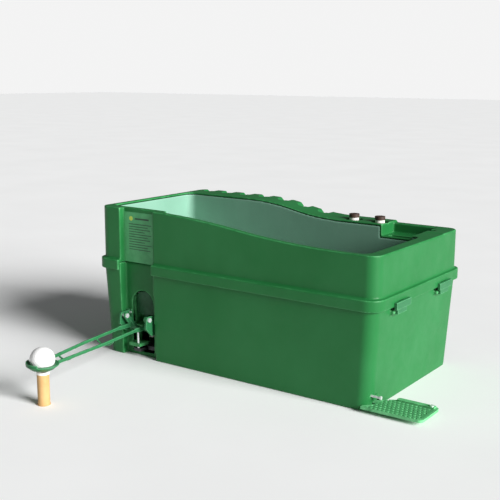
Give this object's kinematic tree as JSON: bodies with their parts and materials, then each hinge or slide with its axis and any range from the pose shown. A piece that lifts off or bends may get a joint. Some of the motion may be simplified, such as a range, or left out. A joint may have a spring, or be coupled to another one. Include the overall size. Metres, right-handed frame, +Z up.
{
  "type": "golf ball dispenser",
  "caption": "Pedal-operated golf ball dispenser: a green moulded ball hopper box with a gated outlet, a hinged two-rail delivery arm ending in a cup over a tee, and a foot pedal.",
  "frame": {"origin": "middle of the box's flat underside, on the floor", "axes": "+X along the box towards the pedal end, -Y towards the channel and the arm, +Z up"},
  "size_m": [0.7185, 0.6595, 0.297],
  "materials": {
    "moulded_green": "satin moulded, fine texture",
    "tub_green": "satin",
    "light_green": "satin",
    "label_green": "printed sticker with plain bars",
    "steel": "brushed",
    "chrome": "bright",
    "tee_tan": "matte",
    "white_plastic": "satin",
    "ball_white": "gloss, dimpled",
    "brown_rubber": "matte"
  },
  "bodies": {
    "box": {"lower_shell": "moulded_green", "upper_shell": "moulded_green", "hopper_tub": "tub_green", "label_plate": "label_green", "base_plate": "steel", "base_screws": "steel", "outlet_chute": "tub_green", "gate_shaft": "steel", "rocker_shaft": "steel", "rod_guide": "moulded_green", "hinge_bracket_left": "light_green", "hinge_bracket_right": "light_green", "hinge_bolt_left": "chrome", "hinge_bolt_right": "chrome", "bracket_screws": "chrome", "tee_tube": "tee_tan", "tee_collar": "white_plastic", "stop_bolt": "chrome", "pivot_shaft": "steel", "pivot_cheek_front": "steel", "pivot_cheek_back": "steel", "spring_hanger": "steel", "return_spring": "steel", "latch_pins": "steel", "tee_post_1": "white_plastic", "tee_post_2": "white_plastic"},
    "arm": {"delivery_arm": "light_green", "arm_cup": "moulded_green"},
    "rod": {"push_rod": "chrome"},
    "pedal": {"pedal_lever": "steel", "pedal_plate": "light_green", "pedal_bolt": "chrome", "pedal_end_screw": "chrome"},
    "gate": {"outlet_gate": "moulded_green"},
    "rocker": {"feed_rocker": "white_plastic"},
    "ball": {"golf_ball": "ball_white"},
    "latch_fr": {"latch_front_right": "light_green"},
    "latch_br": {"latch_back_right": "light_green"},
    "latch_fl": {"latch_front_left": "light_green"},
    "latch_bl": {"latch_back_left": "light_green"},
    "tee_a": {"spare_tee_1": "brown_rubber"},
    "tee_b": {"spare_tee_2": "brown_rubber"}
  },
  "joints": [
    {"name": "pedal_pivot", "type": "hinge", "parent": "box", "child": "pedal", "pos_m": [-0.12, -0.136, 0.017], "axis": [0, 1, 0], "range_deg": [0, 0.6], "stiffness_Nm_per_rad": 30, "springref_deg": -5.73, "deforming": ["return_spring"]},
    {"name": "arm_hinge", "type": "hinge", "parent": "box", "child": "arm", "pos_m": [-0.211, -0.175, 0.084], "axis": [1, 0, 0], "range_deg": [0, 4.6]},
    {"name": "rod_slide", "type": "slide", "parent": "box", "child": "rod", "axis": [0, 0, 1], "range_m": [0, 0.00102]},
    {"name": "gate_swing", "type": "hinge", "parent": "box", "child": "gate", "pos_m": [-0.213, -0.143, 0.126], "axis": [-1, 0, 0], "range_deg": [0, 52]},
    {"name": "rocker_turn", "type": "hinge", "parent": "box", "child": "rocker", "pos_m": [-0.213, -0.118, 0.046], "axis": [1, 0, 0], "range_deg": [0, 28.1]},
    {"name": "ball_lift", "type": "slide", "parent": "box", "child": "ball", "axis": [0, 0, 1], "range_m": [0, 0.06]},
    {"name": "latch_fr_flip", "type": "hinge", "parent": "box", "child": "latch_fr", "pos_m": [0.3115, -0.088, 0.163], "axis": [0, 1, 0], "range_deg": [0, 85]},
    {"name": "latch_br_flip", "type": "hinge", "parent": "box", "child": "latch_br", "pos_m": [0.3115, 0.088, 0.163], "axis": [0, 1, 0], "range_deg": [0, 85]},
    {"name": "latch_fl_flip", "type": "hinge", "parent": "box", "child": "latch_fl", "pos_m": [-0.3115, -0.088, 0.163], "axis": [0, -1, 0], "range_deg": [0, 85]},
    {"name": "latch_bl_flip", "type": "hinge", "parent": "box", "child": "latch_bl", "pos_m": [-0.3115, 0.088, 0.163], "axis": [0, -1, 0], "range_deg": [0, 85]},
    {"name": "tee_a_lift", "type": "slide", "parent": "box", "child": "tee_a", "axis": [0, 0, 1], "range_m": [0, 0.05]},
    {"name": "tee_b_lift", "type": "slide", "parent": "box", "child": "tee_b", "axis": [0, 0, 1], "range_m": [0, 0.05]}
  ],
  "couplings": [
    {"joint": "arm_hinge", "follows": "pedal_pivot", "ratio": 7.5},
    {"joint": "rod_slide", "follows": "pedal_pivot", "m_per_rad": 0.097},
    {"joint": "rocker_turn", "follows": "pedal_pivot", "ratio": 46.667}
  ]
}
